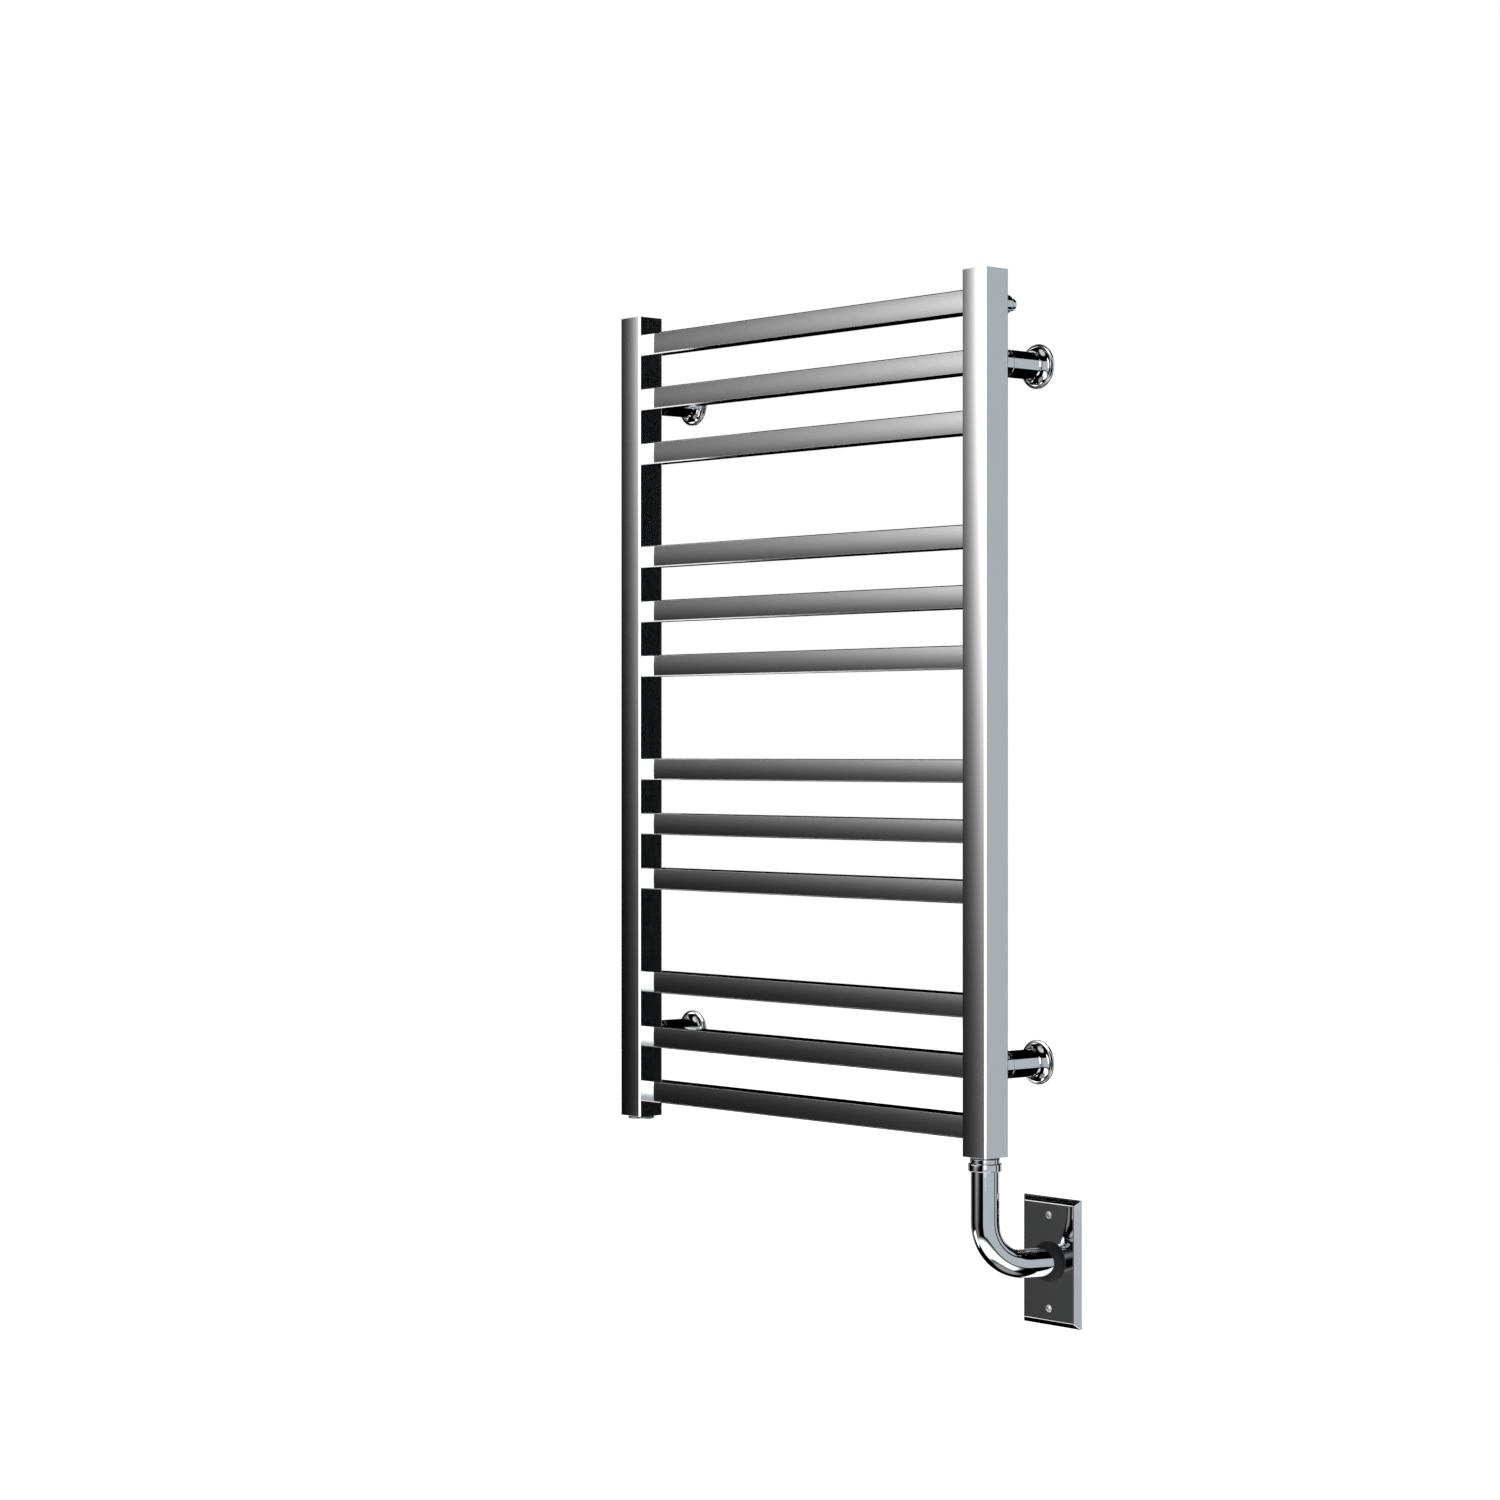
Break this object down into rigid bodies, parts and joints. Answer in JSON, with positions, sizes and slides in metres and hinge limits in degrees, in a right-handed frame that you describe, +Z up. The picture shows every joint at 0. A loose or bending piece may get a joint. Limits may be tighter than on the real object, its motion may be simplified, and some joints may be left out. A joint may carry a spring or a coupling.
{
  "type": "towel warmer rack",
  "caption": "Wall-hung electric towel warmer with two uprights, grouped level bars, telescopic wall brackets, a bent conduit and a wall plate.",
  "frame": {"origin": "on the wall's face, midway between the four brackets", "axes": "+Z up along the uprights, +Y into the wall, +X to the right seen from the room"},
  "size_m": [0.5462, 0.0826, 0.9361],
  "materials": {
    "polished_steel": "polished, mirror bright, with a faint drawn grain along the tube",
    "chrome_fittings": "bright chrome plate",
    "plate_chrome": "bright chrome plate on a pressed cover",
    "screw_steel": "plated steel",
    "brass": "turned, satin",
    "element_sheath": "drawn stainless sheath, satin",
    "rubber": "moulded, matt black",
    "fibre": "red fibre sealing ring, matt",
    "lead_live": "black insulation",
    "lead_neutral": "white insulation",
    "lead_earth": "green insulation"
  },
  "bodies": {
    "rack": {"left_upright": "polished_steel", "right_upright": "polished_steel", "left_top_cap": "polished_steel", "left_bottom_cap": "polished_steel", "right_top_cap": "polished_steel", "right_bottom_cap": "polished_steel", "bar_01": "polished_steel", "bar_02": "polished_steel", "bar_03": "polished_steel", "bar_04": "polished_steel", "bar_05": "polished_steel", "bar_06": "polished_steel", "bar_07": "polished_steel", "bar_08": "polished_steel", "bar_09": "polished_steel", "bar_10": "polished_steel", "bar_11": "polished_steel", "bar_12": "polished_steel", "upper_left_boss": "chrome_fittings", "upper_right_boss": "chrome_fittings", "lower_left_boss": "chrome_fittings", "lower_right_boss": "chrome_fittings", "vent_body": "chrome_fittings", "vent_washer": "rubber", "blanking_plug": "chrome_fittings", "blanking_plug_washer": "fibre", "element_head": "chrome_fittings", "element_washer": "fibre", "heating_element": "element_sheath"},
    "upper_left_post": {"upper_left_post": "chrome_fittings", "upper_left_anchor": "brass"},
    "upper_left_rosette": {"upper_left_rosette": "chrome_fittings"},
    "upper_left_grub_screw": {"upper_left_grub_screw": "screw_steel"},
    "upper_right_post": {"upper_right_post": "chrome_fittings", "upper_right_anchor": "brass"},
    "upper_right_rosette": {"upper_right_rosette": "chrome_fittings"},
    "upper_right_grub_screw": {"upper_right_grub_screw": "screw_steel"},
    "lower_left_post": {"lower_left_post": "chrome_fittings", "lower_left_anchor": "brass"},
    "lower_left_rosette": {"lower_left_rosette": "chrome_fittings"},
    "lower_left_grub_screw": {"lower_left_grub_screw": "screw_steel"},
    "lower_right_post": {"lower_right_post": "chrome_fittings", "lower_right_anchor": "brass"},
    "lower_right_rosette": {"lower_right_rosette": "chrome_fittings"},
    "lower_right_grub_screw": {"lower_right_grub_screw": "screw_steel"},
    "vent_screw": {"vent_screw": "brass"},
    "coupling_nut": {"coupling_nut": "chrome_fittings"},
    "conduit": {"conduit": "chrome_fittings", "live_lead": "lead_live", "neutral_lead": "lead_neutral", "earth_lead": "lead_earth"},
    "wall_plate": {"wall_plate": "plate_chrome", "grommet": "rubber"},
    "upper_plate_screw": {"upper_plate_screw": "screw_steel"},
    "lower_plate_screw": {"lower_plate_screw": "screw_steel"}
  },
  "joints": [
    {"name": "upper_left_post_slide", "type": "slide", "parent": "rack", "child": "upper_left_post", "axis": [0, 1, 0], "range_m": [0, 0.006]},
    {"name": "upper_left_rosette_slide", "type": "slide", "parent": "upper_left_post", "child": "upper_left_rosette", "axis": [0, -1, 0], "range_m": [0, 0.03]},
    {"name": "upper_left_grub_turn", "type": "hinge", "parent": "rack", "child": "upper_left_grub_screw", "pos_m": [-0.2365, -0.048, 0.311], "axis": [0.766, 0, 0.6428], "range_deg": [0, 360]},
    {"name": "upper_right_post_slide", "type": "slide", "parent": "rack", "child": "upper_right_post", "axis": [0, 1, 0], "range_m": [0, 0.006]},
    {"name": "upper_right_rosette_slide", "type": "slide", "parent": "upper_right_post", "child": "upper_right_rosette", "axis": [0, -1, 0], "range_m": [0, 0.03]},
    {"name": "upper_right_grub_turn", "type": "hinge", "parent": "rack", "child": "upper_right_grub_screw", "pos_m": [0.2365, -0.048, 0.311], "axis": [0.766, 0, 0.6428], "range_deg": [0, 360]},
    {"name": "lower_left_post_slide", "type": "slide", "parent": "rack", "child": "lower_left_post", "axis": [0, 1, 0], "range_m": [0, 0.006]},
    {"name": "lower_left_rosette_slide", "type": "slide", "parent": "lower_left_post", "child": "lower_left_rosette", "axis": [0, -1, 0], "range_m": [0, 0.03]},
    {"name": "lower_left_grub_turn", "type": "hinge", "parent": "rack", "child": "lower_left_grub_screw", "pos_m": [-0.2365, -0.048, -0.311], "axis": [0.766, 0, 0.6428], "range_deg": [0, 360]},
    {"name": "lower_right_post_slide", "type": "slide", "parent": "rack", "child": "lower_right_post", "axis": [0, 1, 0], "range_m": [0, 0.006]},
    {"name": "lower_right_rosette_slide", "type": "slide", "parent": "lower_right_post", "child": "lower_right_rosette", "axis": [0, -1, 0], "range_m": [0, 0.03]},
    {"name": "lower_right_grub_turn", "type": "hinge", "parent": "rack", "child": "lower_right_grub_screw", "pos_m": [0.2365, -0.048, -0.311], "axis": [0.766, 0, 0.6428], "range_deg": [0, 360]},
    {"name": "vent_screw_turn", "type": "hinge", "parent": "rack", "child": "vent_screw", "pos_m": [0.2365, -0.04, 0.3635], "axis": [0, 1, 0], "range_deg": [0, 360]},
    {"name": "coupling_nut_turn", "type": "hinge", "parent": "rack", "child": "coupling_nut", "pos_m": [0.2365, -0.0676, -0.399], "axis": [0, 0, 1], "range_deg": [0, 360]},
    {"name": "conduit_swivel", "type": "hinge", "parent": "rack", "child": "conduit", "pos_m": [0.2365, -0.0676, -0.42], "axis": [0, 0, 1], "range_deg": [-45, 45]},
    {"name": "wall_plate_slide", "type": "slide", "parent": "conduit", "child": "wall_plate", "axis": [-0.2839, -0.9588, 0], "range_m": [0, 0.005]},
    {"name": "upper_plate_screw_turn", "type": "hinge", "parent": "wall_plate", "child": "upper_plate_screw", "pos_m": [0.2548, -0.003, -0.44535], "axis": [0, -1, 0], "range_deg": [0, 360]},
    {"name": "lower_plate_screw_turn", "type": "hinge", "parent": "wall_plate", "child": "lower_plate_screw", "pos_m": [0.2548, -0.003, -0.52865], "axis": [0, -1, 0], "range_deg": [0, 360]}
  ],
  "couplings": [
    {"joint": "upper_right_post_slide", "follows": "upper_left_post_slide", "ratio": 1},
    {"joint": "lower_left_post_slide", "follows": "upper_left_post_slide", "ratio": 1},
    {"joint": "lower_right_post_slide", "follows": "upper_left_post_slide", "ratio": 1}
  ]
}
